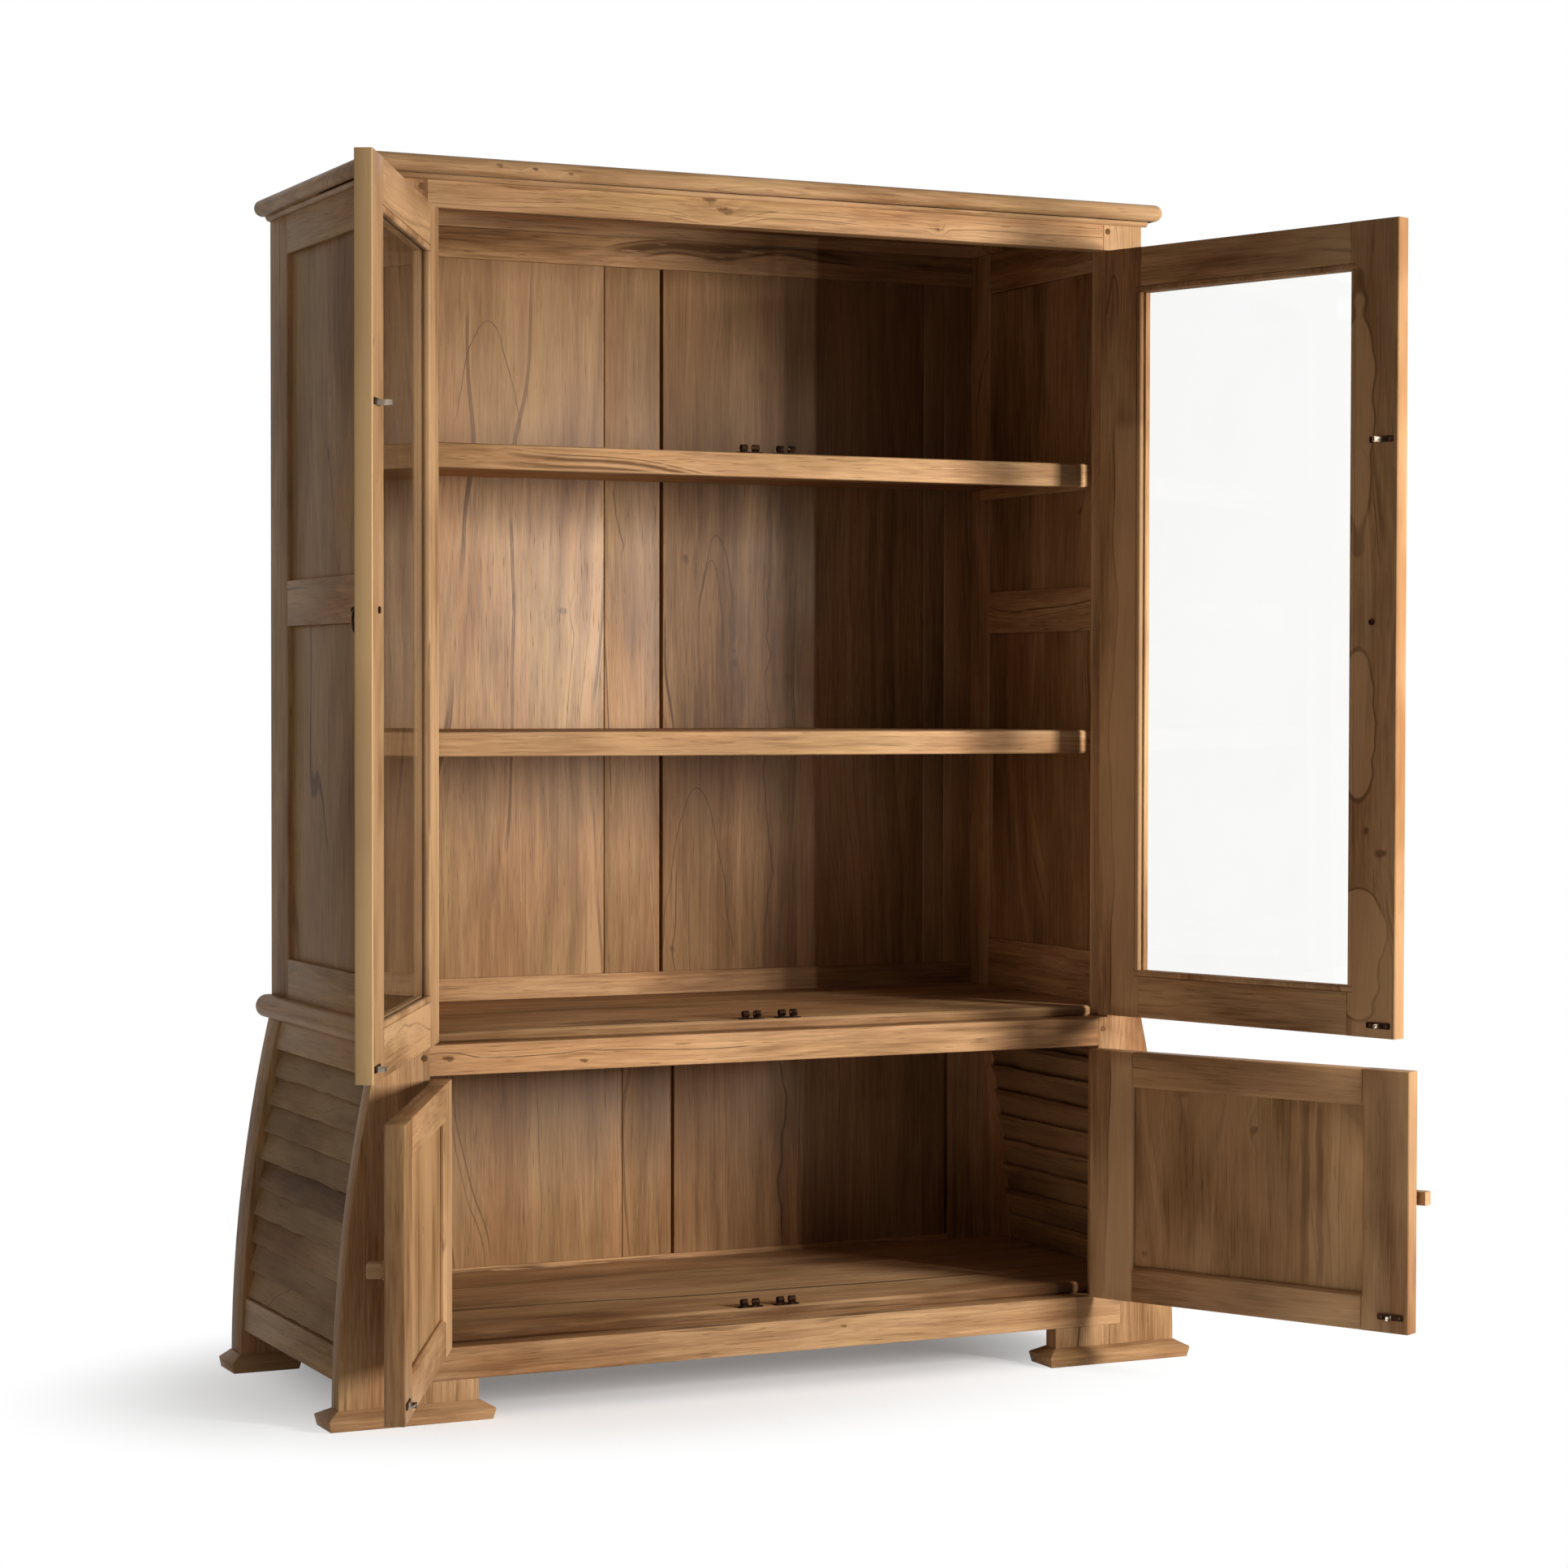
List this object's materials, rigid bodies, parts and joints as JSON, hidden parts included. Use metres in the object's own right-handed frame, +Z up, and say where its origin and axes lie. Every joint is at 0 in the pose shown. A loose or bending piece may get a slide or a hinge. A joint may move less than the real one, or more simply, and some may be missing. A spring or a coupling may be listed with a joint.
{
  "type": "display cabinet",
  "caption": "Tall teak display cabinet: glazed doors over open shelves, on a flared slatted base with panelled doors, all doors hinged and standing open.",
  "frame": {"origin": "on the floor, under the middle of the cabinet's front face, which is also close to the middle of the floor area that the cabinet takes up with its doors open", "axes": "+X to the viewer's right, +Y from the front to the back, +Z up"},
  "size_m": [1.8262, 1.1909, 1.988],
  "materials": {
    "case_wood": "oiled teak, satin, brown",
    "front_wood": "oiled teak, satin, golden brown",
    "door_wood": "oiled teak, satin, golden brown",
    "panel_wood": "oiled teak boards, satin, reddish brown",
    "slat_wood": "weathered teak, dull, grey brown",
    "peg_wood": "dark end grain",
    "dark_bronze": "dark bronzed metal with worn edges",
    "hinge_brass": "aged brass",
    "clear_glass": "clear"
  },
  "bodies": {
    "case": {"top_cap": "front_wood", "cap_bead": "case_wood", "fascia_rail": "front_wood", "upper_front_posts": "case_wood", "upper_side_stiles": "case_wood", "upper_side_rails": "case_wood", "upper_side_panels": "panel_wood", "back_rails": "case_wood", "back_cover_strips": "panel_wood", "upper_back_boards": "panel_wood", "shelf_upper": "front_wood", "shelf_lower": "front_wood", "shelf_cleats": "case_wood", "upper_floor": "front_wood", "waist_mouldings": "front_wood", "base_front_posts": "case_wood", "base_back_posts": "case_wood", "mid_rail": "front_wood", "bottom_rail": "front_wood", "base_side_rails": "case_wood", "base_slats_left": "slat_wood", "base_slats_right": "slat_wood", "base_back_boards": "panel_wood", "base_floor": "front_wood", "foot_blocks": "case_wood", "foot_mouldings": "front_wood", "catch_cases": "dark_bronze", "catch_balls": "hinge_brass", "joint_pegs": "peg_wood", "hinge_jamb_leaves": "hinge_brass", "hinge_pins": "hinge_brass"},
    "door_upper_left": {"ul_stiles": "door_wood", "ul_rails": "door_wood", "ul_beads": "door_wood", "ul_glass": "clear_glass", "ul_hinges": "hinge_brass", "ul_strikes": "dark_bronze", "ul_ring_plate": "dark_bronze"},
    "ring_left": {"ul_ring": "dark_bronze"},
    "door_upper_right": {"ur_stiles": "door_wood", "ur_rails": "door_wood", "ur_beads": "door_wood", "ur_glass": "clear_glass", "ur_hinges": "hinge_brass", "ur_strikes": "dark_bronze", "ur_ring_plate": "dark_bronze"},
    "ring_right": {"ur_ring": "dark_bronze"},
    "door_lower_left": {"ll_stiles": "door_wood", "ll_rails": "door_wood", "ll_panel": "panel_wood", "ll_hinges": "hinge_brass", "ll_strike": "dark_bronze", "ll_knob": "door_wood"},
    "door_lower_right": {"lr_stiles": "door_wood", "lr_rails": "door_wood", "lr_panel": "panel_wood", "lr_hinges": "hinge_brass", "lr_strike": "dark_bronze", "lr_knob": "door_wood"}
  },
  "joints": [
    {"name": "upper_left_door", "type": "hinge", "parent": "case", "child": "door_upper_left", "pos_m": [-0.623, -0.004, 0], "axis": [0, 0, -1], "range_deg": [-118, 42]},
    {"name": "upper_right_door", "type": "hinge", "parent": "case", "child": "door_upper_right", "pos_m": [0.623, -0.004, 0], "axis": [0, 0, 1], "range_deg": [-109, 51]},
    {"name": "lower_left_door", "type": "hinge", "parent": "case", "child": "door_lower_left", "pos_m": [-0.606, -0.004, 0], "axis": [0, 0, -1], "range_deg": [-116, 44]},
    {"name": "lower_right_door", "type": "hinge", "parent": "case", "child": "door_lower_right", "pos_m": [0.606, -0.004, 0], "axis": [0, 0, 1], "range_deg": [-118, 42]},
    {"name": "left_ring", "type": "hinge", "parent": "door_upper_left", "child": "ring_left", "pos_m": [-0.89577, -0.50849, 1.265], "axis": [0.4695, 0.8829, 0], "range_deg": [-8, 95]},
    {"name": "right_ring", "type": "hinge", "parent": "door_upper_right", "child": "ring_right", "pos_m": [0.81349, -0.54495, 1.265], "axis": [0.3256, -0.9455, 0], "range_deg": [-8, 95]}
  ]
}
